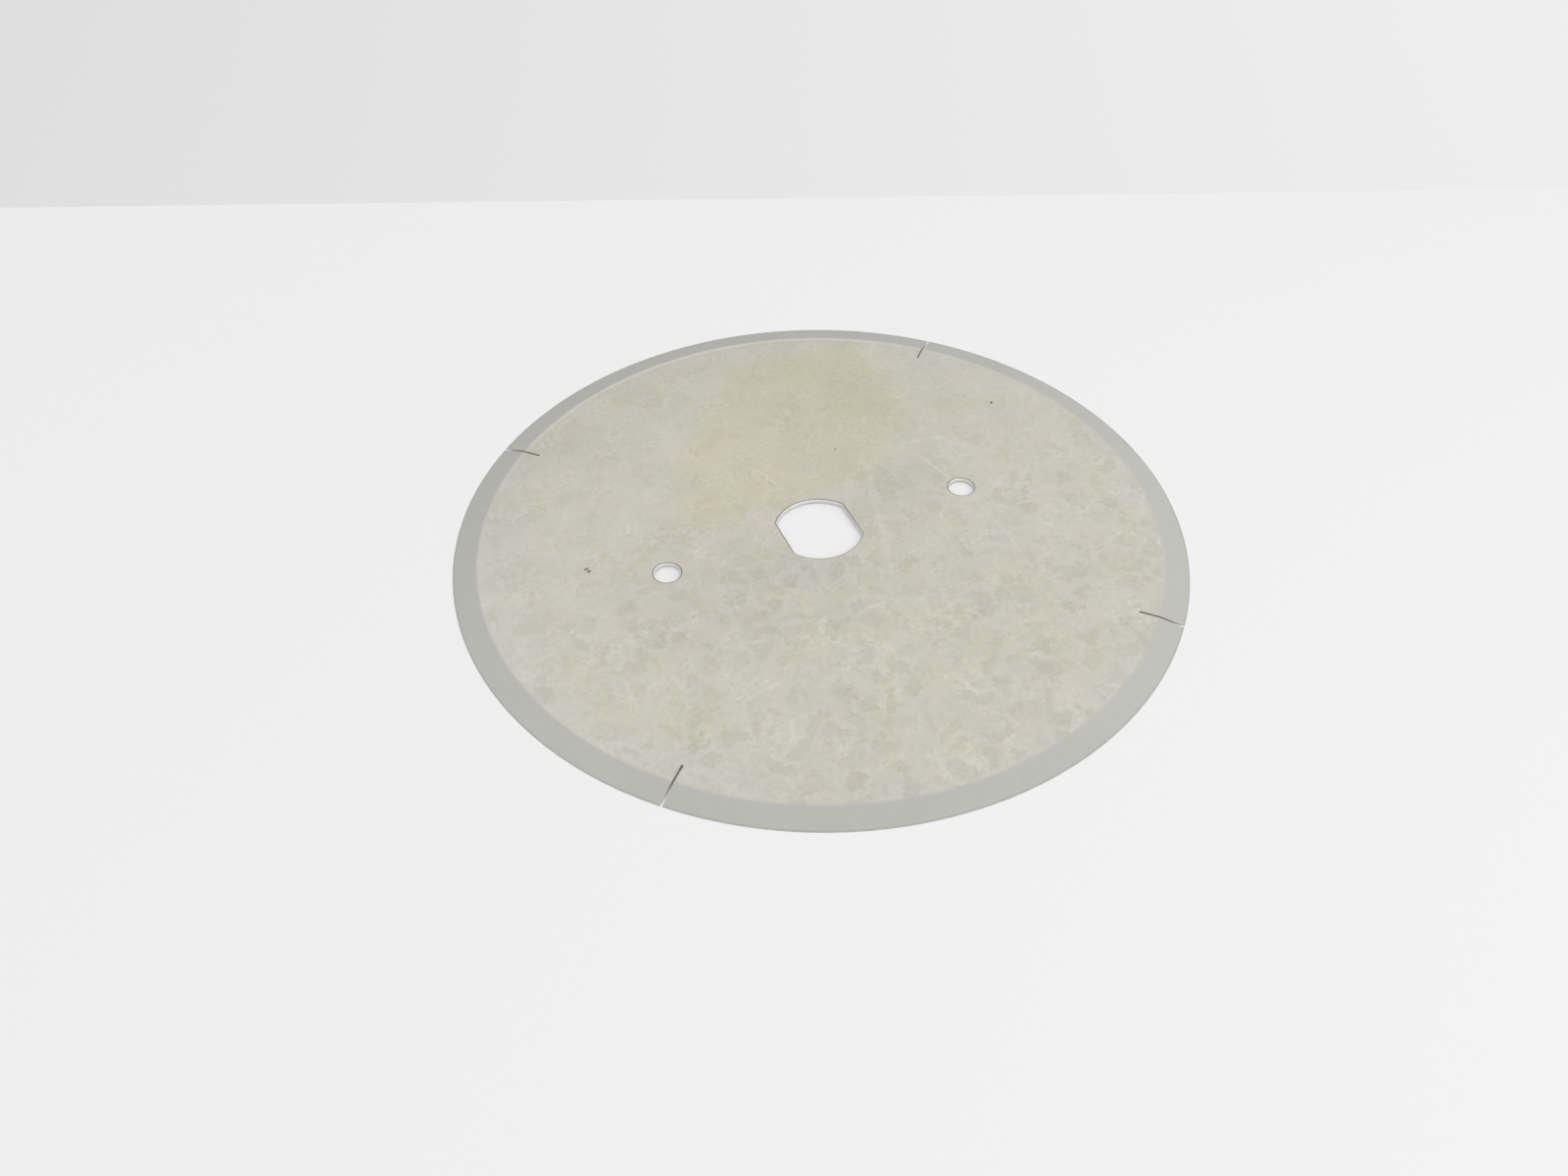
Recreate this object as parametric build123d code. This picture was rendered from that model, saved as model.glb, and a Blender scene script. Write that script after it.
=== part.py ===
from build123d import *
from math import radians, tan
import os

# Flat circular knife for a powered cutting spindle, lying on its back with the ground face up.
# The origin is the centre of the back, +Z points out of the ground face, and +X runs to one pin hole.
# All sizes are in millimetres and all angles in degrees.

# Disc
disc_diameter = 250.0
disc_thickness = 1.5

# Cutting edge: one flat grind on the face side, from the face down to a narrow honed land at the rim
bevel_width = 8.0
edge_land = 0.05

# Centre bore: round, with two flats that face the pin holes and stop the knife turning on its shaft
bore_diameter = 30.0
flat_depth = 2.5

# Two drive pin holes, opposite each other
pin_hole_diameter = 9.0
pin_spacing = 111.0

# Slots cut in from the rim, each ending in a full radius
slot_count = 4
slot_length = 14.7
slot_width = 0.8
slot_angle_from_pins = 45.0

# Broken edges at the bore and the pin holes, on the face and on the back
edge_break = 0.3

# Hardness test dent in the face: the print of a wide cone with a blunt tip
dent_diameter = 0.7
dent_tip_diameter = 0.15
dent_cone_angle = 120.0
dent_from_rim = 26.5
dent_angle_from_pins = 23.75

rim_radius = disc_diameter / 2


def ground_disc():
    """Disc turned from its half section, with the grind falling from the face to the rim."""
    bevel_start = rim_radius - bevel_width
    half_section = Polyline(
        (0, 0),
        (rim_radius, 0),
        (rim_radius, edge_land),
        (bevel_start, disc_thickness),
        (0, disc_thickness),
        close=True,
    )
    return revolve(make_face(Plane.XZ * half_section), axis=Axis.Z)


def shaft_bore():
    """Double-D column through the thickness, its two flats square to X."""
    across_flats = bore_diameter - 2 * flat_depth
    outline = Circle(bore_diameter / 2) & Rectangle(across_flats, bore_diameter)
    return extrude(outline, amount=disc_thickness)


def pin_holes():
    """One round column for each drive pin, on the X axis."""
    outline = Sketch() + [
        Pos(side * pin_spacing / 2, 0) * Circle(pin_hole_diameter / 2)
        for side in (-1, 1)
    ]
    return extrude(outline, amount=disc_thickness)


def hole_edges(plate):
    """Edges of the bore and the pin holes where they meet the back and the face."""
    hole_reach = pin_spacing / 2 + pin_hole_diameter
    levels = plate.edges().group_by(Axis.Z)
    return [
        edge
        for edge in levels[0] + levels[-1]
        if (edge @ 0.5).length < hole_reach
    ]


def rim_slot():
    """Column for one slot on the X axis: a round inner end and straight sides out past the rim."""
    end_radius = slot_width / 2
    end_centre = rim_radius - slot_length + end_radius
    straight = rim_radius + slot_width - end_centre
    outline = Pos(end_centre, 0) * Circle(end_radius)
    outline += Pos(end_centre + straight / 2, 0) * Rectangle(straight, slot_width)
    return extrude(outline, amount=disc_thickness)


def rim_slots():
    """The slots, evenly spaced and turned away from the line of the pin holes."""
    step = 360 / slot_count
    return [
        Rot(0, 0, slot_angle_from_pins + index * step) * rim_slot()
        for index in range(slot_count)
    ]


def hardness_dent():
    """The dent at its place in the face, point down."""
    tip_radius = dent_tip_diameter / 2
    mouth_radius = dent_diameter / 2
    depth = (mouth_radius - tip_radius) / tan(radians(dent_cone_angle / 2))
    cone = Cone(tip_radius, mouth_radius, depth, align=(Align.CENTER, Align.CENTER, Align.MAX))
    return Rot(0, 0, dent_angle_from_pins) * Pos(rim_radius - dent_from_rim, 0, disc_thickness) * cone


def knife_blade():
    """The whole knife, one piece of steel."""
    plate = ground_disc() - shaft_bore() - pin_holes()
    plate = chamfer(hole_edges(plate), length=edge_break)
    for slot in rim_slots():
        plate -= slot
    return plate - hardness_dent()


blade = knife_blade()

os.makedirs("parts", exist_ok=True)
export_step(blade, "parts/blade.step")
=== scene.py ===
from math import cos, radians, sin

import bpy
from bpy.props import FloatProperty, FloatVectorProperty, PointerProperty
from mathutils import Matrix, Vector


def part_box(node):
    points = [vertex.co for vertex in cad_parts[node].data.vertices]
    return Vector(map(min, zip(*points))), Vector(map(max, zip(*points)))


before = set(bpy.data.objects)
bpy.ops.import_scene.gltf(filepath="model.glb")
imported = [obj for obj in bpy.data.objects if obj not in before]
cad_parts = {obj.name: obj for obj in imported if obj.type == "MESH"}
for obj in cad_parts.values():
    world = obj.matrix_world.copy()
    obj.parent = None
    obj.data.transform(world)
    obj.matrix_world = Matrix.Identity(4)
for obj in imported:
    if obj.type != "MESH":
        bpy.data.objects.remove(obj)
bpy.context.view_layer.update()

bl_info = {
    "name": "Circular Knife Bench",
    "version": (1, 0, 0),
    "blender": (4, 5, 0),
    "location": "3D View > Sidebar > Knife",
    "description": "Finishes the steel of a flat circular knife and lays it out on a pale bench",
    "category": "Object",
}

MM = 0.001

# The blade as the frame gives it, in metres
blade_low, blade_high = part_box("blade")
rim_radius = (blade_high[0] - blade_low[0]) / 2
face_height = blade_high[2]

# Places of the knife's features, in millimetres from its centre
SLOT_END_CENTRE = 110.7
DENT = (90.16, 39.67)
PIN_CENTRE = 55.5

# Outlines of the holes at the face, in millimetres: the bore's radius, its flats and a pin hole's radius
BORE_OUTLINE = 15.33
FLAT_OUTLINE = 12.85
PIN_OUTLINE = 4.83

# Radius of the dent's painted shade, and how far from a slot's middle the colour of its walls, partly
# painted shade, fades, in millimetres
DENT_RADIUS = 0.50
SLOT_WALL_FADE = (0.402, 0.415)

# Radii in metres that leave a ring without an outer side, and without a hole
PAST_RIM = 1.0
BEFORE_CENTRE = -1.0

# Handling scratches in the face, in millimetres: start, end, width, and then brightness
SCRATCHES = (
    ((43.5, 47.5), (46.0, 40.0), 0.42, 0.65),
    ((46.0, 40.0), (50.0, 23.0), 0.30, 0.35),
    ((50.0, 23.0), (54.0, 5.5), 0.56, 1.00),
    ((56.5, -6.0), (58.0, -30.0), 0.46, 0.80),
    ((58.0, -30.0), (57.0, -44.0), 0.40, 0.60),
    ((-12.5, 52.0), (-9.5, 43.0), 0.42, 0.70),
    ((-8.0, 38.0), (-4.5, 28.5), 0.60, 1.00),
    ((-4.5, 28.5), (-3.0, 22.0), 0.40, 0.60),
    ((30.5, -7.0), (27.0, -14.0), 0.40, 0.50),
)

# Wiped streaks in the oil, in millimetres: start, end, half width, and then brightness
STREAKS = (
    ((47.5, 31.5), (61.0, 28.5), 2.6, 0.060),
    ((61.0, 28.5), (68.0, 22.0), 2.8, 0.050),
    ((68.0, 22.0), (71.0, 9.0), 3.4, 0.040),
    ((29.5, 25.0), (25.5, 4.0), 1.9, 0.060),
    ((25.0, 12.0), (21.5, -2.0), 1.5, 0.040),
    ((21.5, -3.0), (16.5, -20.0), 2.9, 0.068),
    ((-40.5, -41.0), (-29.5, -44.5), 1.4, 0.050),
    ((-45.5, -82.0), (-42.0, -75.5), 1.1, 0.070),
    ((-42.0, -75.5), (-36.0, -75.0), 1.0, 0.060),
    ((-15.5, -82.0), (-12.5, -77.0), 1.2, 0.060),
    ((-12.5, -77.0), (-6.5, -77.5), 1.0, 0.050),
    ((-53.5, -84.0), (-50.5, -90.0), 1.3, 0.060),
)

# Soft marks have a centre and half sizes in millimetres, a turn in degrees, the softness of their edge as a
# share of their size, and a strength

# Dark flecks
FLECKS = (
    ((-79.9, 12.4), (0.85, 0.55), 20.0, 0.45, 0.80),
    ((-79.3, 11.1), (0.60, 0.80), -15.0, 0.45, 0.80),
    ((23.2, 37.5), (0.40, 0.95), -35.0, 0.45, 0.45),
)

# Lighter and darker areas in the oil, and painted shade along the far part of the rim
VEILS_AND_FAR_RIM_SHADE = (
    ((-36.0, 64.0), (52.0, 10.0), 50.0, 0.7, 0.022),
    ((-76.0, 34.0), (24.0, 32.0), 10.0, 0.8, 0.032),
    ((-92.0, -20.0), (14.0, 60.0), 3.0, 0.8, 0.030),
    ((-112.0, -2.0), (9.0, 58.0), 2.0, 0.7, 0.052),
    ((-66.0, -70.0), (34.0, 16.0), -40.0, 0.8, 0.022),
    ((-2.0, -52.0), (24.0, 8.0), -3.0, 0.8, 0.024),
    ((88.0, 6.0), (13.0, 24.0), 0.0, 0.9, 0.008),
    ((-16.0, 42.0), (22.0, 20.0), 35.0, 0.9, 0.036),
    ((-20.0, 29.0), (12.0, 9.0), 15.0, 0.8, 0.024),
    ((40.0, 78.0), (24.0, 30.0), -15.0, 0.8, -0.032),
    # Painted shade along the far part of the rim
    ((0.0, 108.0), (74.0, 14.0), 0.0, 0.8, -0.026),
    ((-76.0, 78.0), (20.0, 9.0), 45.0, 0.8, -0.036),
    ((28.0, 2.0), (11.0, 22.0), -25.0, 0.5, -0.062),
    ((50.0, 15.0), (7.0, 9.0), -20.0, 0.6, -0.050),
    ((74.0, 48.0), (7.0, 24.0), -10.0, 0.8, -0.014),
    ((-32.0, -18.0), (32.0, 20.0), -10.0, 0.9, -0.030),
    ((42.0, -44.0), (30.0, 24.0), 0.0, 0.9, -0.024),
)

# Thin bluish haze on the face
BLUE_HAZES = (
    ((-8.0, -18.5), (17.0, 8.0), -12.0, 0.4, 0.80),
    ((-103.0, 36.0), (6.0, 34.0), -20.0, 0.7, 0.55),
    ((-110.0, -14.0), (5.0, 24.0), 6.0, 0.7, 0.40),
    ((-70.0, -84.0), (12.0, 5.0), -40.0, 0.7, 0.65),
    ((78.0, 80.0), (6.0, 22.0), 45.0, 0.8, 0.40),
    ((66.0, -88.0), (5.0, 26.0), -52.0, 0.8, 0.30),
)

# Where the yellowed stain is deepest
STAIN_DEPTHS = (
    ((-20.0, 30.0), (12.0, 10.0), 15.0, 0.8, 0.46),
    ((42.0, 54.0), (14.0, 24.0), -20.0, 0.8, 0.14),
)

# Faint yellow places elsewhere
STRAY_STAINS = (
    ((-1.0, -52.0), (24.0, 7.0), -3.0, 0.8, 0.20),
    ((-62.0, -66.0), (13.0, 12.0), 0.0, 0.8, 0.16),
    ((-22.0, 7.0), (20.0, 9.0), -15.0, 0.8, 0.15),
    ((-84.0, -54.0), (20.0, 30.0), 35.0, 0.8, 0.08),
)

# Sides of the stain: a point on each, the direction out of it in degrees, and its softness in millimetres
STAIN_SIDES = (
    ((-23.0, 64.0), 143.0, 4.0),
    ((-39.0, 25.0), 180.0, 5.0),
    ((0.0, 18.0), 275.0, 4.0),
    ((45.8, 34.6), 308.0, 5.0),
    ((58.0, 60.0), 0.0, 4.0),
    ((35.0, 100.0), 85.0, 9.0),
)

# Light from all round: height of its direction, from straight down at -1 to straight up at 1, and level
ROOM_LEVELS = (
    (-0.50, 0.805), (-0.25, 0.805), (0.0, 0.66), (0.14, 0.64), (0.25, 0.80), (0.40, 0.96),
    (0.565, 0.945), (0.667, 1.00), (0.78, 1.00), (0.91, 0.95), (1.0, 0.93),
)

# Share by which each part of the oil makes the steel lighter, or darker below 0
CORE_CHANGE = -0.081
WEB_CHANGE = 0.105
CLOUD_CHANGE = 0.14
GRAIN_CHANGE = 0.28

# How far red, green and blue change from place to place
BROAD_HUE_CHANGE = (0.048, 0.0, 0.085)
FINE_HUE_CHANGE = (0.075, 0.0, 0.130)

# Scales of noise, per metre
BROAD_HUE_SCALE = 60.0
FINE_HUE_SCALE = 230.0
WAVER_SCALE = 60.0
SKIP_SCALE = 350.0

# Factors of red, green and blue that tint a colour
WIPED_TINT = (0.988, 0.992, 1.035)
BLUE_HAZE_TINT = (0.965, 0.982, 1.022)
# Painted shade along the cutting edge
CUTTING_EDGE_SHADE_TINT = (0.88, 0.88, 0.88)
# Painted dark reflection on the edge round each hole
HOLE_EDGE_REFLECTION_TINT = (0.36, 0.36, 0.38)

FLECK_COLOUR = (0.16, 0.16, 0.17)

# Lamp and camera, in metres but for the sensor, which is in millimetres
LAMP_PLACE = (0.383, -0.663, 0.643)
LAMP_WIDTH = 1.0
SENSOR_WIDTH = 36.0
NEAREST_SEEN = 0.01
FURTHEST_SEEN = 20.0


# Settings


class KnifeFinish(bpy.types.PropertyGroup):
    """Colours and sizes of the steel's finish."""

    face_colour: FloatVectorProperty(
        name="Face colour", description="Dull polished steel of the face under its old oil",
        subtype="COLOR", size=3, min=0.0, max=1.0, default=(0.598, 0.583, 0.501),
    )
    bevel_colour: FloatVectorProperty(
        name="Bevel colour", description="Ground steel of the bevel",
        subtype="COLOR", size=3, min=0.0, max=1.0, default=(0.524, 0.520, 0.491),
    )
    stain_colour: FloatVectorProperty(
        name="Stain colour", description="Steel under the yellowed oil",
        subtype="COLOR", size=3, min=0.0, max=1.0, default=(0.597, 0.570, 0.437),
    )
    scratch_colour: FloatVectorProperty(
        name="Scratch colour", description="Bare steel in a scratch",
        subtype="COLOR", size=3, min=0.0, max=1.0, default=(0.74, 0.73, 0.66),
    )
    # Slot walls: oiled steel, darkened partly as painted shade
    slot_oil_and_shade_colour: FloatVectorProperty(
        name="Cut colour", description="Darkened walls of the narrow slots",
        subtype="COLOR", size=3, min=0.0, max=1.0, default=(0.60, 0.58, 0.54),
    )
    # Metal inside the holes, made paler as a painted reflection of the bright bench
    hole_reflection_colour: FloatVectorProperty(
        name="Hole colour", description="Clean cut metal inside the bore and the pin holes",
        subtype="COLOR", size=3, min=0.0, max=1.0, default=(0.78, 0.78, 0.76),
    )
    # Painted shade inside the test dent
    dent_shade_colour: FloatVectorProperty(
        name="Dent colour", description="Dark inside of the test dent",
        subtype="COLOR", size=3, min=0.0, max=1.0, default=(0.05, 0.05, 0.05),
    )
    bevel_width: FloatProperty(
        name="Bevel width", description="Width of the grind, in from the rim",
        unit="LENGTH", min=0.0, default=8.0 * MM,
    )
    blotch_size: FloatProperty(
        name="Blotch size", description="Usual width of one blotch in the oil",
        unit="LENGTH", min=0.1 * MM, default=8.5 * MM,
    )
    mottle: FloatProperty(
        name="Mottle", description="How strongly the blotches show",
        subtype="FACTOR", min=0.0, max=2.0, default=1.0,
    )
    face_roughness: FloatProperty(
        name="Face roughness", description="Roughness of the dull face",
        subtype="FACTOR", min=0.0, max=1.0, default=0.42,
    )
    bevel_roughness: FloatProperty(
        name="Bevel roughness", description="Roughness of the ground bevel",
        subtype="FACTOR", min=0.0, max=1.0, default=0.30,
    )
    grind_spacing: FloatProperty(
        name="Grind spacing", description="Distance between the fine lines left by grinding the bevel",
        unit="LENGTH", min=0.01 * MM, default=0.35 * MM,
    )


class KnifeStage(bpy.types.PropertyGroup):
    """The bench, its light and the camera."""

    floor_colour: FloatVectorProperty(
        name="Floor colour", description="Colour of the bench top",
        subtype="COLOR", size=3, min=0.0, max=1.0, default=(0.875, 0.872, 0.872),
    )
    floor_size: FloatProperty(
        name="Floor size", description="Length of each side of the bench top",
        unit="LENGTH", min=0.5, default=6.0,
    )
    floor_gap: FloatProperty(
        name="Floor gap", description="Clearance under the knife's back",
        unit="LENGTH", min=0.0, default=0.05 * MM,
    )
    edge_distance: FloatProperty(
        name="Edge distance", description="From the knife's centre to the back edge of the bench top",
        unit="LENGTH", min=0.2, default=0.2383,
    )
    edge_turn: FloatProperty(
        name="Edge turn", description="Direction of the back edge, from +Y towards +X",
        subtype="ANGLE", default=radians(22.63),
    )
    room_light: FloatProperty(
        name="Room light", description="Strength of the even light from all round",
        min=0.0, default=0.988,
    )
    side_light: FloatProperty(
        name="Side light",
        description="How much stronger that light is low on the right than in the middle",
        min=0.0, default=0.42,
    )
    lamp_power: FloatProperty(
        name="Lamp power", description="Power of the large lamp behind the camera, in watts",
        min=0.0, default=1.2,
    )
    camera_place: FloatVectorProperty(
        name="Camera place", description="Where the camera stands",
        subtype="TRANSLATION", unit="LENGTH", size=3, default=(-0.13900, -0.30517, 0.30084),
    )
    camera_heading: FloatProperty(
        name="Camera heading", description="Direction of view, from +Y towards +X",
        subtype="ANGLE", default=radians(22.365),
    )
    camera_dip: FloatProperty(
        name="Camera dip", description="How far the camera looks down",
        subtype="ANGLE", default=radians(44.383),
    )
    camera_roll: FloatProperty(
        name="Camera roll", description="Turn of the camera about its line of sight",
        subtype="ANGLE", default=radians(-0.824),
    )
    focal_length: FloatProperty(
        name="Focal length", description="Focal length in millimetres on a 36 mm sensor",
        min=1.0, default=29.84,
    )


# Nodes


def feed(tree, value, socket):
    """Joins a socket to an input, or sets a plain value on it."""
    if isinstance(value, bpy.types.NodeSocket):
        tree.links.new(value, socket)
    else:
        socket.default_value = value


def node(tree, kind, settings=None, **inputs):
    """Adds one node, with its settings and its named inputs."""
    added = tree.nodes.new(kind)
    for name, value in (settings or {}).items():
        setattr(added, name, value)
    for name, value in inputs.items():
        feed(tree, value, added.inputs[name.replace("_", " ")])
    return added


def calc(tree, operation, *values, clamp=False):
    """One Math node."""
    added = node(tree, "ShaderNodeMath", {"operation": operation, "use_clamp": clamp})
    for value, socket in zip(values, added.inputs):
        feed(tree, value, socket)
    return added.outputs["Value"]


def vector(tree, operation, *values, scale=None):
    """One Vector Math node: its value for a length or dot product, its vector for the rest."""
    added = node(tree, "ShaderNodeVectorMath", {"operation": operation})
    for value, socket in zip(values, added.inputs):
        feed(tree, value, socket)
    if scale is not None:
        feed(tree, scale, added.inputs["Scale"])
    return added.outputs["Value" if operation in ("LENGTH", "DOT_PRODUCT") else "Vector"]


def ramp(tree, value, low, high, start=0.0, end=1.0):
    """Smooth step of a value: start below low, end above high."""
    added = node(tree, "ShaderNodeMapRange", {"interpolation_type": "SMOOTHSTEP"},
                 Value=value, From_Min=low, From_Max=high, To_Min=start, To_Max=end)
    return added.outputs["Result"]


def blend(tree, factor, under, over):
    """Two colours mixed by a factor."""
    added = node(tree, "ShaderNodeMix", {"data_type": "RGBA"})
    colours = [socket for socket in added.inputs if socket.type == "RGBA"]
    feed(tree, factor, added.inputs["Factor"])
    feed(tree, under, colours[0])
    feed(tree, over, colours[1])
    return next(socket for socket in added.outputs if socket.type == "RGBA")


def noise(tree, position, scale, detail=2.0, roughness=0.5, shift=None):
    """Noise from 0 to 1, and the same as a colour, read at a position that may be shifted."""
    if shift is not None:
        position = vector(tree, "ADD", position, shift)
    added = node(tree, "ShaderNodeTexNoise",
                 Vector=position, Scale=scale, Detail=detail, Roughness=roughness)
    return added.outputs["Fac"], added.outputs["Color"]


def wander(tree, position, scale, reach, detail=3.0, roughness=0.5):
    """A position moved about by noise, by up to about half of reach."""
    _, colour = noise(tree, position, scale, detail, roughness)
    centred = vector(tree, "SUBTRACT", colour, (0.5, 0.5, 0.5))
    return vector(tree, "ADD", position, vector(tree, "SCALE", centred, scale=reach))


def flattened(tree, position):
    """A position without its height."""
    return vector(tree, "MULTIPLY", position, (1.0, 1.0, 0.0))


def gather(tree, operation, values):
    """Several values put together by one operation."""
    result = values[0]
    for value in values[1:]:
        result = calc(tree, operation, result, value)
    return result


def rgba(colour):
    """A colour that covers fully."""
    return (*colour, 1.0)


def tinted(colour, factors):
    """A colour with each part multiplied."""
    return rgba([part * factor for part, factor in zip(colour, factors)])


def new_group(name, inputs, outputs):
    """An empty node group with named sockets, the sockets it is given and the sockets it fills."""
    tree = bpy.data.node_groups.new(name, "ShaderNodeTree")
    for socket_name, kind in inputs:
        tree.interface.new_socket(socket_name, in_out="INPUT", socket_type="NodeSocket" + kind)
    for socket_name in outputs:
        tree.interface.new_socket(socket_name, in_out="OUTPUT", socket_type="NodeSocketFloat")
    return tree, tree.nodes.new("NodeGroupInput").outputs, tree.nodes.new("NodeGroupOutput").inputs


def place_group(tree, group, **inputs):
    """Places a group in a tree and gives its outputs."""
    return node(tree, "ShaderNodeGroup", {"node_tree": group}, **inputs).outputs


# Effects


def ring_band_group():
    """A ring about a centre: 1 between its two radii and 0 outside."""
    tree, given, out = new_group(
        "Ring Band",
        (("Position", "Vector"), ("Centre", "Vector"), ("Inner", "Float"), ("Outer", "Float"),
         ("Softness", "Float")),
        ("Band",),
    )
    offset = vector(tree, "SUBTRACT", given["Position"], given["Centre"])
    distance = vector(tree, "LENGTH", flattened(tree, offset))

    def across(radius, start, end):
        """A soft step across one of the two radii."""
        low = calc(tree, "SUBTRACT", given[radius], given["Softness"])
        high = calc(tree, "ADD", given[radius], given["Softness"])
        return ramp(tree, distance, low, high, start, end)

    rise = across("Inner", 0.0, 1.0)
    fall = across("Outer", 1.0, 0.0)
    feed(tree, calc(tree, "MULTIPLY", rise, fall), out["Band"])
    return tree


def scratch_group():
    """A thin line from one point to another, brightest along its middle."""
    tree, given, out = new_group(
        "Scratch",
        (("Position", "Vector"), ("Start", "Vector"), ("End", "Vector"), ("Width", "Float")),
        ("Line",),
    )
    along = vector(tree, "SUBTRACT", given["End"], given["Start"])
    offset = vector(tree, "SUBTRACT", given["Position"], given["Start"])
    share = calc(tree, "DIVIDE", vector(tree, "DOT_PRODUCT", offset, along),
                 vector(tree, "DOT_PRODUCT", along, along), clamp=True)
    gap = vector(tree, "SUBTRACT", offset, vector(tree, "SCALE", along, scale=share))
    line = ramp(tree, vector(tree, "LENGTH", flattened(tree, gap)), 0.0, given["Width"], 1.0, 0.0)
    feed(tree, line, out["Line"])
    return tree


def soft_patch_group():
    """An oval patch: 1 in its middle and 0 outside."""
    tree, given, out = new_group(
        "Soft Patch",
        (("Position", "Vector"), ("Centre", "Vector"), ("Half Size", "Vector"), ("Turn", "Float"),
         ("Softness", "Float")),
        ("Patch",),
    )
    offset = vector(tree, "SUBTRACT", given["Position"], given["Centre"])
    turned = node(tree, "ShaderNodeVectorRotate", {"rotation_type": "Z_AXIS"}, Vector=offset,
                  Angle=calc(tree, "MULTIPLY", given["Turn"], -1.0)).outputs["Vector"]
    reach = vector(tree, "LENGTH", vector(tree, "DIVIDE", flattened(tree, turned), given["Half Size"]))
    soft = given["Softness"]
    patch = ramp(tree, reach, calc(tree, "SUBTRACT", 1.0, soft), calc(tree, "ADD", 1.0, soft), 1.0, 0.0)
    feed(tree, patch, out["Patch"])
    return tree


def straight_side_group():
    """One straight side of an area: 1 inside it, fading to 0 across the side."""
    tree, given, out = new_group(
        "Straight Side",
        (("Position", "Vector"), ("Point", "Vector"), ("Outward", "Vector"), ("Softness", "Float")),
        ("Inside",),
    )
    offset = vector(tree, "SUBTRACT", given["Position"], given["Point"])
    outside = vector(tree, "DOT_PRODUCT", offset, given["Outward"])
    soft = given["Softness"]
    feed(tree, ramp(tree, outside, calc(tree, "MULTIPLY", soft, -1.0), soft, 1.0, 0.0), out["Inside"])
    return tree


def oil_mottle_group():
    """Old oil on steel: frayed dark patches of two sizes, paler bands and a few light lines."""
    tree, given, out = new_group(
        "Oil Mottle",
        (("Position", "Vector"), ("Blotch Size", "Float")),
        ("Core", "Web", "Cloud", "Grain"),
    )
    position = given["Position"]
    per_size = calc(tree, "DIVIDE", 1.0, given["Blotch Size"])

    def scaled(factor):
        return calc(tree, "MULTIPLY", per_size, factor)

    reach = calc(tree, "MULTIPLY", given["Blotch Size"], 1.5)
    stirred = wander(tree, position, scaled(1.1), reach, detail=4.0, roughness=0.55)

    def cells(scale, weakest):
        """The dark bodies of one size of cell, each as dark as chance gives it, and the seams between."""
        flat = {"voronoi_dimensions": "2D"}
        edge = node(tree, "ShaderNodeTexVoronoi", {**flat, "feature": "DISTANCE_TO_EDGE"},
                    Vector=stirred, Scale=scale).outputs["Distance"]
        colour = node(tree, "ShaderNodeTexVoronoi", flat, Vector=stirred, Scale=scale).outputs["Color"]
        red_and_green = vector(tree, "DOT_PRODUCT", colour, (0.5, 0.5, 0.0))
        chance = ramp(tree, red_and_green, 0.25, 0.75, weakest, 1.2)
        uneven, _ = noise(tree, position, calc(tree, "MULTIPLY", scale, 1.8), detail=3.0)
        frayed = calc(tree, "ADD", edge, ramp(tree, uneven, 0.3, 0.7, -0.17, 0.17))
        body = calc(tree, "MULTIPLY", ramp(tree, frayed, 0.0, 0.30), chance)
        return body, ramp(tree, frayed, -0.04, 0.12, 1.0, 0.0)

    # What the two sizes come to where the steel keeps its own brightness
    usual_darkness = 0.76
    bodies, seams = cells(scaled(1.0), 0.1)
    small_bodies, small_seams = cells(scaled(2.1), 0.0)
    small_bodies = calc(tree, "MULTIPLY", small_bodies, 0.5)
    feed(tree, gather(tree, "ADD", (bodies, small_bodies, -usual_darkness)), out["Core"])

    veins, _ = noise(tree, stirred, per_size, detail=1.0)
    from_middle = calc(tree, "ABSOLUTE", calc(tree, "SUBTRACT", veins, 0.5))
    gaps, _ = noise(tree, position, scaled(0.8), shift=(0.3, 0.7, 0.2))
    patchy = ramp(tree, gaps, 0.42, 0.62)
    rarer = ramp(tree, gaps, 0.55, 0.68)
    line = calc(tree, "MULTIPLY", ramp(tree, from_middle, 0.0, 0.035, 0.7, 0.0), rarer)
    wide = gather(tree, "MULTIPLY", (seams, patchy, 0.20))
    fine = gather(tree, "MULTIPLY", (small_seams, patchy, 0.06))
    feed(tree, gather(tree, "ADD", (line, wide, fine)), out["Web"])

    cloud, _ = noise(tree, position, scaled(0.45))
    feed(tree, calc(tree, "SUBTRACT", cloud, 0.5), out["Cloud"])
    grain, _ = noise(tree, position, scaled(5.0), detail=3.0, roughness=0.66)
    centred = calc(tree, "SUBTRACT", grain, 0.5)
    feed(tree, calc(tree, "MULTIPLY", centred, calc(tree, "ADD", patchy, 0.5)), out["Grain"])
    return tree


def grind_lines_group():
    """Fine lines that run round the knife's axis, as a grinding wheel leaves them."""
    tree, given, out = new_group(
        "Grind Lines",
        (("Position", "Vector"), ("Spacing", "Float")),
        ("Lines",),
    )
    flat = flattened(tree, given["Position"])
    heading = vector(tree, "SCALE", vector(tree, "NORMALIZE", flat), scale=2.5)
    rings = calc(tree, "DIVIDE", vector(tree, "LENGTH", flat), given["Spacing"])
    upwards = node(tree, "ShaderNodeCombineXYZ", Z=rings).outputs["Vector"]
    lines, _ = noise(tree, vector(tree, "ADD", heading, upwards), 1.0, detail=3.0, roughness=0.6)
    feed(tree, calc(tree, "SUBTRACT", lines, 0.5), out["Lines"])
    return tree


def flat_point(point):
    """A place in the knife's plane, in metres, from millimetres."""
    return (point[0] * MM, point[1] * MM, 0.0)


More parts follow.
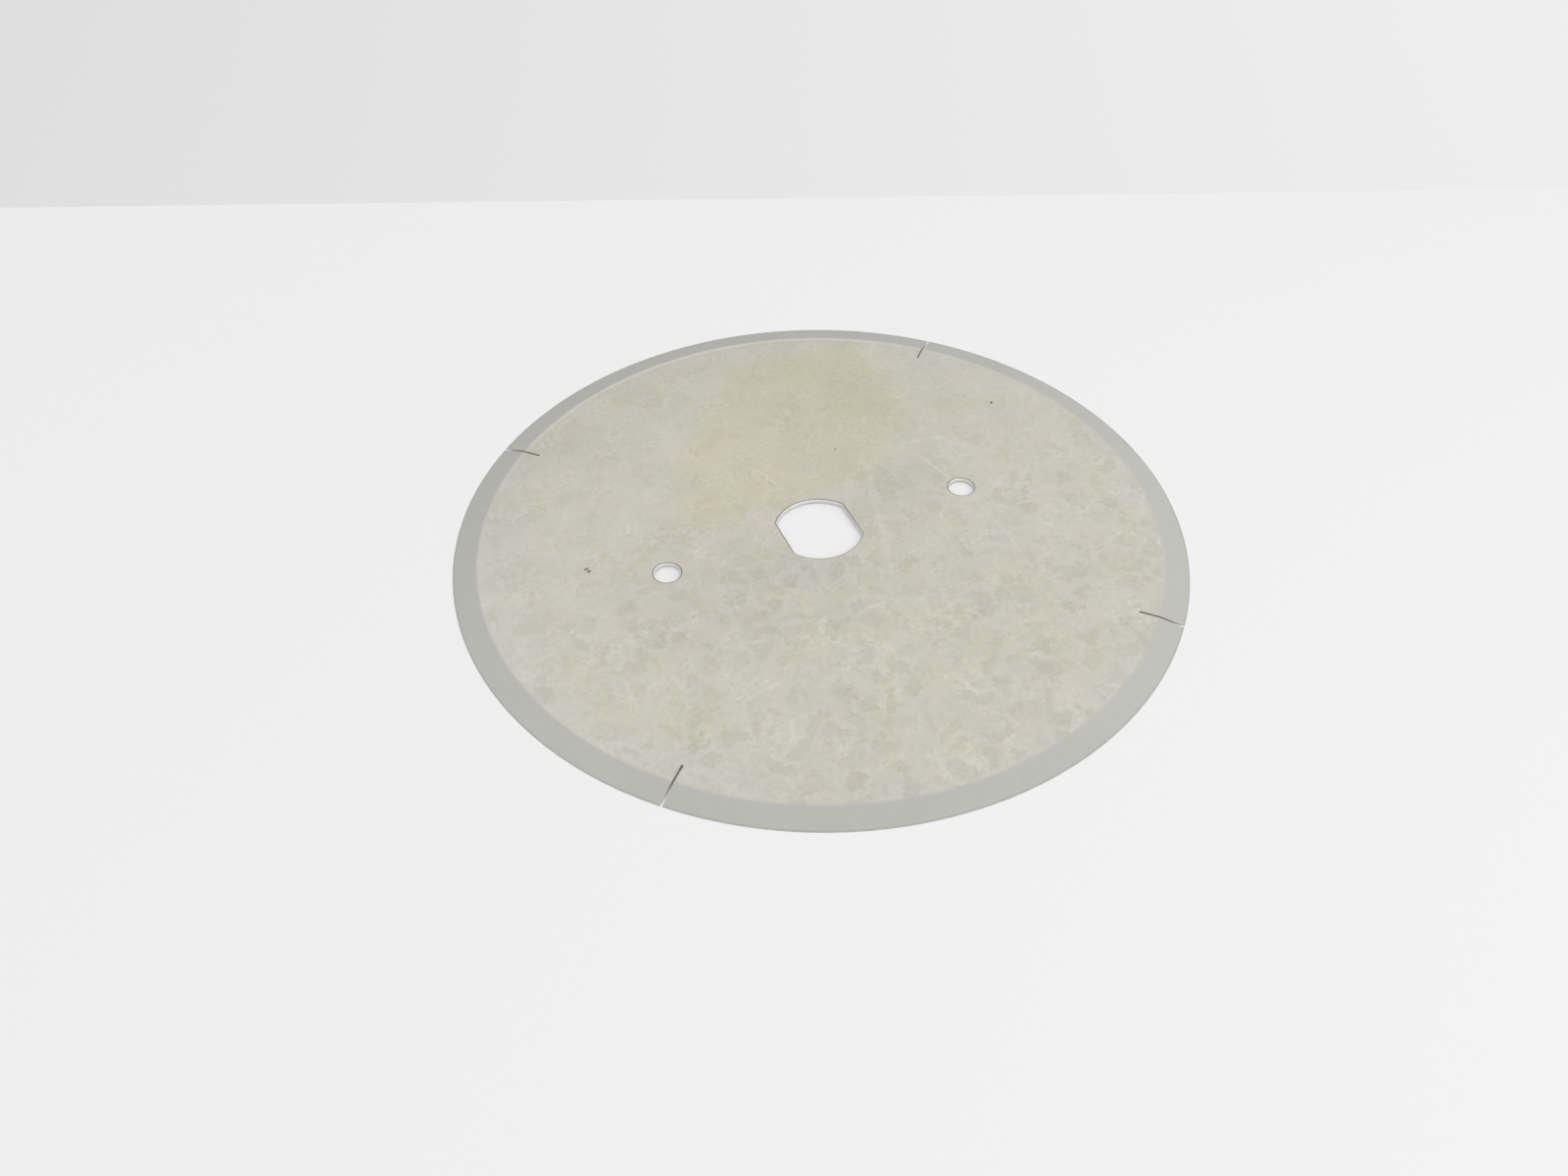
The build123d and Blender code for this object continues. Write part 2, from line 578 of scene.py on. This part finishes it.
class Steel:
    """The knife's steel in one node tree: mottled face, ground bevel, slot walls with painted shade and
    handling marks.
    """

    def __init__(self, material, finish):
        material.use_nodes = True
        self.tree = material.node_tree
        self.tree.nodes.clear()
        self.finish = finish
        self.bevel_start = rim_radius - finish.bevel_width
        self.ring_band = ring_band_group()
        self.scratch = scratch_group()
        self.soft_patch = soft_patch_group()
        self.straight_side = straight_side_group()
        self.position = self.tree.nodes.new("ShaderNodeTexCoord").outputs["Object"]
        split = node(self.tree, "ShaderNodeSeparateXYZ", Vector=self.position).outputs
        self.x, self.y, self.z = split["X"], split["Y"], split["Z"]
        self.on_top = ramp(self.tree, self.z, face_height - 0.015 * MM, face_height - 0.005 * MM)
        self.oil = place_group(self.tree, oil_mottle_group(), Position=self.position,
                               Blotch_Size=finish.blotch_size)
        self.grind = place_group(self.tree, grind_lines_group(), Position=self.position,
                                 Spacing=finish.grind_spacing)["Lines"]
        self.broadly_moved = wander(self.tree, self.position, 1.0 / (10.0 * MM), 10.0 * MM)
        self.slightly_moved = wander(self.tree, self.position, 1.0 / (1.2 * MM), 0.6 * MM, detail=2.0)

    def times(self, *values):
        """Several values multiplied."""
        return gather(self.tree, "MULTIPLY", values)

    def ring(self, inner, outer, softness, centre=(0.0, 0.0)):
        """1 between two radii and 0 outside them, with soft sides."""
        return place_group(self.tree, self.ring_band, Position=self.position, Centre=flat_point(centre),
                           Inner=inner, Outer=outer, Softness=softness)["Band"]

    def patches(self, operation, marks, moved):
        """Several soft marks on the face, each as strong as its last number."""
        found = []
        for centre, half_size, turn, softness, strength in marks:
            shape = place_group(self.tree, self.soft_patch, Position=moved, Centre=flat_point(centre),
                                Half_Size=(half_size[0] * MM, half_size[1] * MM, 1.0), Turn=radians(turn),
                                Softness=softness)["Patch"]
            found.append(self.times(shape, strength))
        return self.times(gather(self.tree, operation, found), self.on_top)

    def lines(self, operation, marks, moved):
        """Several lines on the face, each as strong as its last number."""
        found = []
        for start, end, width, strength in marks:
            line = place_group(self.tree, self.scratch, Position=moved, Start=flat_point(start),
                               End=flat_point(end), Width=width * MM)["Line"]
            found.append(self.times(line, strength))
        return self.times(gather(self.tree, operation, found), self.on_top)

    def bevel_share(self):
        """1 on the bevel, fading into the face where the two meet."""
        above_back = ramp(self.tree, self.z, 0.02 * MM, 0.06 * MM)
        return self.times(self.ring(self.bevel_start - 0.25 * MM, PAST_RIM, 0.8 * MM), above_back)

    def slot_walls(self):
        """1 on the walls of the slots, found with the disc folded into one quarter."""
        tree = self.tree
        across_x = calc(tree, "ABSOLUTE", self.x)
        across_y = calc(tree, "ABSOLUTE", self.y)
        diagonal = 0.5 ** 0.5
        along = self.times(calc(tree, "ADD", across_x, across_y), diagonal)
        across = self.times(calc(tree, "SUBTRACT", across_x, across_y), diagonal)
        before_end = calc(tree, "MAXIMUM", calc(tree, "SUBTRACT", SLOT_END_CENTRE * MM, along), 0.0)
        squares = calc(tree, "ADD", self.times(before_end, before_end), self.times(across, across))
        fade_start, fade_end = SLOT_WALL_FADE
        return ramp(tree, calc(tree, "SQRT", squares), fade_start * MM, fade_end * MM, 1.0, 0.0)

    def outside_holes(self):
        """Distance outside the nearest hole's outline, below 0 inside it."""
        tree = self.tree
        across = calc(tree, "ABSOLUTE", self.x)
        from_axis = vector(tree, "LENGTH", flattened(tree, self.position))
        bore = calc(tree, "MAXIMUM", calc(tree, "SUBTRACT", from_axis, BORE_OUTLINE * MM),
                    calc(tree, "SUBTRACT", across, FLAT_OUTLINE * MM))
        from_pin = node(tree, "ShaderNodeCombineXYZ", Y=self.y,
                        X=calc(tree, "SUBTRACT", across, PIN_CENTRE * MM)).outputs["Vector"]
        pin = calc(tree, "SUBTRACT", vector(tree, "LENGTH", from_pin), PIN_OUTLINE * MM)
        return calc(tree, "MINIMUM", bore, pin)

    def shade(self, colour, change):
        """A colour made lighter or darker by a share, and a little yellower where it gets darker."""
        shares = vector(self.tree, "SCALE", (1.0, 1.0, 1.25), scale=change)
        return vector(self.tree, "MULTIPLY", colour, vector(self.tree, "ADD", shares, (1.0, 1.0, 1.0)))

    def face_change(self):
        """Lighter and darker places: the oil, strongest in the lower half, the veils with painted shade
        along the far rim, and the streaks.
        """
        tree, oil, mottle = self.tree, self.oil, self.finish.mottle
        lower_half = ramp(tree, self.y, -30.0 * MM, 40.0 * MM, 1.0, 0.60)
        streaks_moved = wander(tree, self.position, 1.0 / (4.0 * MM), 2.5 * MM)
        return gather(tree, "ADD", (
            self.times(oil["Core"], lower_half, CORE_CHANGE * mottle),
            self.times(oil["Web"], lower_half, WEB_CHANGE * mottle),
            self.times(oil["Cloud"], CLOUD_CHANGE * mottle),
            self.times(oil["Grain"], GRAIN_CHANGE * mottle),
            # Oil veils, and painted shade along the far part of the rim
            self.patches("ADD", VEILS_AND_FAR_RIM_SHADE, self.broadly_moved),
            self.lines("ADD", STREAKS, streaks_moved),
        ))

    def stain(self, unevenness):
        """The yellowed stain: an area with straight sides and a few deeper places."""
        tree = self.tree
        area = self.on_top
        for point, outward, softness in STAIN_SIDES:
            direction = (cos(radians(outward)), sin(radians(outward)), 0.0)
            side = place_group(tree, self.straight_side, Position=self.broadly_moved,
                               Point=flat_point(point), Outward=direction, Softness=softness * MM)
            area = self.times(area, side["Inside"])
        uneven = ramp(tree, unevenness, 0.30, 0.65, 0.54, 0.74)
        depth = self.patches("MAXIMUM", STAIN_DEPTHS, self.broadly_moved)
        stray = self.patches("MAXIMUM", STRAY_STAINS, self.broadly_moved)
        return calc(tree, "MAXIMUM", self.times(area, calc(tree, "ADD", uneven, depth)), stray)

    def face_colour(self):
        """Colour of the flat face, before its brightness is varied."""
        tree, base = self.tree, self.finish.face_colour
        unevenness, broad_hue = noise(tree, self.position, BROAD_HUE_SCALE, shift=(0.4, 0.1, 0.3))
        _, fine_hue = noise(tree, self.position, FINE_HUE_SCALE, roughness=0.6, shift=(0.1, 0.5, 0.6))
        colour = blend(tree, self.stain(unevenness), rgba(base), rgba(self.finish.stain_colour))
        wiped = self.ring(rim_radius - 14.0 * MM, PAST_RIM, 6.0 * MM)
        colour = blend(tree, self.times(wiped, 0.6), colour, tinted(base, WIPED_TINT))
        hazes = self.patches("MAXIMUM", BLUE_HAZES, self.broadly_moved)
        colour = blend(tree, hazes, colour, tinted(base, BLUE_HAZE_TINT))

        # Faintly pinker or greener, and yellower or bluer, from place to place
        shares = (1.0, 1.0, 1.0)
        for hue, change in ((broad_hue, BROAD_HUE_CHANGE), (fine_hue, FINE_HUE_CHANGE)):
            centred = vector(tree, "SUBTRACT", hue, (0.5, 0.5, 0.5))
            shares = vector(tree, "ADD", vector(tree, "MULTIPLY", centred, change), shares)
        return vector(tree, "MULTIPLY", colour, shares)

    def scratches(self):
        """All the scratches, wavering a little and broken in places."""
        skips, _ = noise(self.tree, self.position, SKIP_SCALE)
        unbroken = ramp(self.tree, skips, 0.30, 0.55, 0.50, 1.0)
        wavered = wander(self.tree, self.position, WAVER_SCALE, 1.2 * MM, detail=1.0)
        return self.times(self.lines("MAXIMUM", SCRATCHES, wavered), unbroken)

    def bevel_colour(self):
        """Colour of the ground bevel, a little darker along the cutting edge as painted shade."""
        base = self.finish.bevel_colour
        # Painted shade along the cutting edge
        edge = self.ring(rim_radius - 0.5 * MM, PAST_RIM, 0.25 * MM)
        ground = blend(self.tree, edge, rgba(base), tinted(base, CUTTING_EDGE_SHADE_TINT))
        return self.shade(ground, gather(self.tree, "ADD", (
            self.times(self.grind, 0.05),
            self.times(self.oil["Cloud"], 0.06),
            self.times(self.oil["Grain"], 0.06),
        )))

    def marked(self, colour, scratches):
        """A colour with the burnished line inside the bevel, the scratches and the flecks over it."""
        tree, bright = self.tree, rgba(self.finish.scratch_colour)
        burnished = self.ring(self.bevel_start - 1.6 * MM, self.bevel_start - 0.2 * MM, 0.5 * MM)
        most_at_top = ramp(tree, self.y, 60.0 * MM, 110.0 * MM, 0.04, 0.40)
        colour = blend(tree, self.times(burnished, most_at_top), colour, bright)
        colour = blend(tree, self.times(scratches, 0.6), colour, bright)
        flecks = self.patches("MAXIMUM", FLECKS, self.slightly_moved)
        return blend(tree, flecks, colour, rgba(FLECK_COLOUR))

    def with_openings(self, colour, slots):
        """A colour with a painted dark reflection on the edge round each hole, metal inside it made paler
        as a painted reflection, the slots' walls with painted shade, and painted shade in the dent.
        """
        tree, finish = self.tree, self.finish
        outside_holes = self.outside_holes()
        # Painted dark reflection on the edge round each hole, stronger on the far side
        hole_edge_reflection = self.times(ramp(tree, outside_holes, 0.10 * MM, 0.45 * MM, 1.0, 0.0),
                               ramp(tree, self.y, -15.0 * MM, 15.0 * MM, 0.50, 1.0))
        colour = blend(tree, hole_edge_reflection, colour, tinted(finish.face_colour, HOLE_EDGE_REFLECTION_TINT))
        # Paler metal inside each hole: a painted reflection of the bench
        inside_holes = ramp(tree, outside_holes, -0.16 * MM, -0.08 * MM, 1.0, 0.0)
        colour = blend(tree, inside_holes, colour, rgba(finish.hole_reflection_colour))
        # Slot walls, darkened partly as painted shade
        colour = blend(tree, slots, colour, rgba(finish.slot_oil_and_shade_colour))
        # Painted shade inside the test dent
        dent = self.ring(BEFORE_CENTRE, DENT_RADIUS * MM, 0.05 * MM, centre=DENT)
        return blend(tree, dent, colour, rgba(finish.dent_shade_colour))

    def roughness(self, bevel, slots):
        """Dull on the face, smoother on the bevel and rough in the slots."""
        tree, finish = self.tree, self.finish
        dull = gather(tree, "ADD", (
            self.times(self.oil["Core"], -0.04),
            self.times(self.oil["Grain"], 0.08),
            finish.face_roughness,
        ))
        smooth = calc(tree, "ADD", self.times(self.grind, 0.12), finish.bevel_roughness)
        change = self.times(calc(tree, "SUBTRACT", smooth, dull), bevel)
        return calc(tree, "MAXIMUM", calc(tree, "ADD", dull, change), self.times(slots, 0.7))

    def relief(self, bevel, scratches):
        """The normal that grinding lines, grain and scratches give the surface."""
        height = gather(self.tree, "ADD", (
            self.times(self.grind, bevel, 0.5),
            self.times(self.oil["Grain"], 0.6),
            self.times(scratches, -1.0),
        ))
        bump = node(self.tree, "ShaderNodeBump", Height=height, Strength=0.35, Distance=0.01 * MM)
        return bump.outputs["Normal"]

    def build(self):
        """Puts the whole material together."""
        bevel = self.bevel_share()
        slots = self.slot_walls()
        scratches = self.scratches()
        face = self.shade(self.face_colour(), self.face_change())
        colour = blend(self.tree, bevel, face, self.bevel_colour())
        colour = self.with_openings(self.marked(colour, scratches), slots)
        shader = node(self.tree, "ShaderNodeBsdfPrincipled", Base_Color=colour, Metallic=1.0,
                      Roughness=self.roughness(bevel, slots), Normal=self.relief(bevel, scratches))
        node(self.tree, "ShaderNodeOutputMaterial", Surface=shader.outputs["BSDF"])


def pale_material(name, colour):
    """Matt pale surface for the stage, seen from its front only."""
    material = bpy.data.materials.new(name)
    material.use_nodes = True
    tree = material.node_tree
    tree.nodes.clear()
    matt = node(tree, "ShaderNodeBsdfDiffuse", Color=rgba(colour))
    clear = node(tree, "ShaderNodeBsdfTransparent")
    mix = node(tree, "ShaderNodeMixShader", Fac=node(tree, "ShaderNodeNewGeometry").outputs["Backfacing"])
    tree.links.new(matt.outputs["BSDF"], mix.inputs[1])
    tree.links.new(clear.outputs["BSDF"], mix.inputs[2])
    node(tree, "ShaderNodeOutputMaterial", Surface=mix.outputs["Shader"])
    return material


def studio_world(scene, stage):
    """Soft light: brightest half way up, dimmer near the horizon, and a little stronger on the right."""
    world = bpy.data.worlds.new("Soft Studio")
    scene.world = world
    world.use_nodes = True
    tree = world.node_tree
    tree.nodes.clear()
    direction = node(tree, "ShaderNodeTexCoord").outputs["Generated"]
    height = node(tree, "ShaderNodeSeparateXYZ", Vector=direction).outputs["Z"]
    levels = node(tree, "ShaderNodeValToRGB", Fac=node(
        tree, "ShaderNodeMapRange", Value=height, From_Min=-1.0, From_Max=1.0).outputs["Result"])
    elements = levels.color_ramp.elements
    while len(elements) < len(ROOM_LEVELS):
        elements.new(0.5)
    for element, (rise, level) in zip(elements, ROOM_LEVELS):
        element.position = (rise + 1.0) / 2
        element.color = (level, level, level, 1.0)
    rightwards = vector(tree, "DOT_PRODUCT", direction, (cos(stage.edge_turn), -sin(stage.edge_turn), 0.0))
    lowness = calc(tree, "SUBTRACT", 1.0, calc(tree, "ABSOLUTE", height))
    # The difference from left to right is smaller near and below the horizon
    evened = ramp(tree, height, -0.05, 0.25, 0.55, 1.0)
    from_side = gather(tree, "MULTIPLY", (rightwards, lowness, evened, stage.side_light))
    strength = calc(tree, "ADD", from_side, stage.room_light)
    light = node(tree, "ShaderNodeBackground", Color=levels.outputs["Color"], Strength=strength)
    node(tree, "ShaderNodeOutputWorld", Surface=light.outputs["Background"])


# Steps


class KNIFE_OT_finish_blade(bpy.types.Operator):
    """Gives the blade its mottled face, ground bevel, slot walls with painted shade and handling marks"""

    bl_idname = "knife.finish_blade"
    bl_label = "Finish Blade"

    def execute(self, context):
        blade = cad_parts.get("blade")
        if blade is None:
            raise RuntimeError("the frame has no node named blade")
        material = bpy.data.materials.new("knife_steel")
        Steel(material, context.scene.knife_finish).build()
        for slot in blade.material_slots:
            slot.material = material
        return {"FINISHED"}


class KNIFE_OT_set_stage(bpy.types.Operator):
    """Sets out the bench top, the soft light and the camera"""

    bl_idname = "knife.set_stage"
    bl_label = "Set Stage"

    def execute(self, context):
        stage = context.scene.knife_stage
        self.add_bench_top(stage)
        studio_world(context.scene, stage)
        self.add_lamp(stage)
        self.add_camera(context.scene, stage)
        context.scene.view_settings.view_transform = "Standard"
        return {"FINISHED"}

    def add_bench_top(self, stage):
        bpy.ops.object.select_all(action="DESELECT")
        turn = stage.edge_turn
        to_middle = stage.edge_distance - stage.floor_size / 2
        place = Vector((sin(turn) * to_middle, cos(turn) * to_middle, -stage.floor_gap))
        bpy.ops.mesh.primitive_plane_add(size=stage.floor_size, location=place, rotation=(0.0, 0.0, -turn))
        bench_top = bpy.context.object
        bench_top.name = "bench_top"
        bpy.ops.object.transform_apply(location=True, rotation=True, scale=True)
        bench_top.data.materials.append(pale_material("bench_surface", stage.floor_colour))

    def add_lamp(self, stage):
        bpy.ops.object.select_all(action="DESELECT")
        bpy.ops.object.light_add(type="AREA", location=LAMP_PLACE)
        lamp = bpy.context.object
        lamp.name = "soft_lamp"
        lamp.data.shape = "DISK"
        lamp.data.size = LAMP_WIDTH
        lamp.data.energy = stage.lamp_power
        lamp.rotation_euler = (-lamp.location).to_track_quat("-Z", "Y").to_euler()

    def add_camera(self, scene, stage):
        bpy.ops.object.select_all(action="DESELECT")
        bpy.ops.object.camera_add(location=stage.camera_place)
        camera = bpy.context.object
        camera.name = "bench_camera"
        heading, dip, roll = stage.camera_heading, stage.camera_dip, stage.camera_roll
        ahead = Vector((sin(heading) * cos(dip), cos(heading) * cos(dip), -sin(dip)))
        level_right = Vector((cos(heading), -sin(heading), 0.0))
        level_down = ahead.cross(level_right)
        right = level_right * cos(roll) - level_down * sin(roll)
        down = level_right * sin(roll) + level_down * cos(roll)
        camera.rotation_euler = Matrix((right, -down, -ahead)).transposed().to_euler()
        camera.data.sensor_width = SENSOR_WIDTH
        camera.data.lens = stage.focal_length
        camera.data.clip_start = NEAREST_SEEN
        camera.data.clip_end = FURTHEST_SEEN
        scene.camera = camera


class KNIFE_PT_bench(bpy.types.Panel):
    """The knife's steps and their settings"""

    bl_idname = "KNIFE_PT_bench"
    bl_label = "Circular Knife"
    bl_space_type = "VIEW_3D"
    bl_region_type = "UI"
    bl_category = "Knife"

    def draw(self, context):
        for step, settings in (
            (KNIFE_OT_finish_blade, context.scene.knife_finish),
            (KNIFE_OT_set_stage, context.scene.knife_stage),
        ):
            box = self.layout.box()
            box.operator(step.bl_idname)
            for name in settings.__annotations__:
                box.prop(settings, name)


CLASSES = (KnifeFinish, KnifeStage, KNIFE_OT_finish_blade, KNIFE_OT_set_stage, KNIFE_PT_bench)


def register():
    for each in CLASSES:
        bpy.utils.register_class(each)
    bpy.types.Scene.knife_finish = PointerProperty(type=KnifeFinish)
    bpy.types.Scene.knife_stage = PointerProperty(type=KnifeStage)


def unregister():
    del bpy.types.Scene.knife_stage
    del bpy.types.Scene.knife_finish
    for each in reversed(CLASSES):
        bpy.utils.unregister_class(each)


def main():
    register()
    bpy.ops.knife.finish_blade()
    bpy.ops.knife.set_stage()


if __name__ == "__main__":
    main()
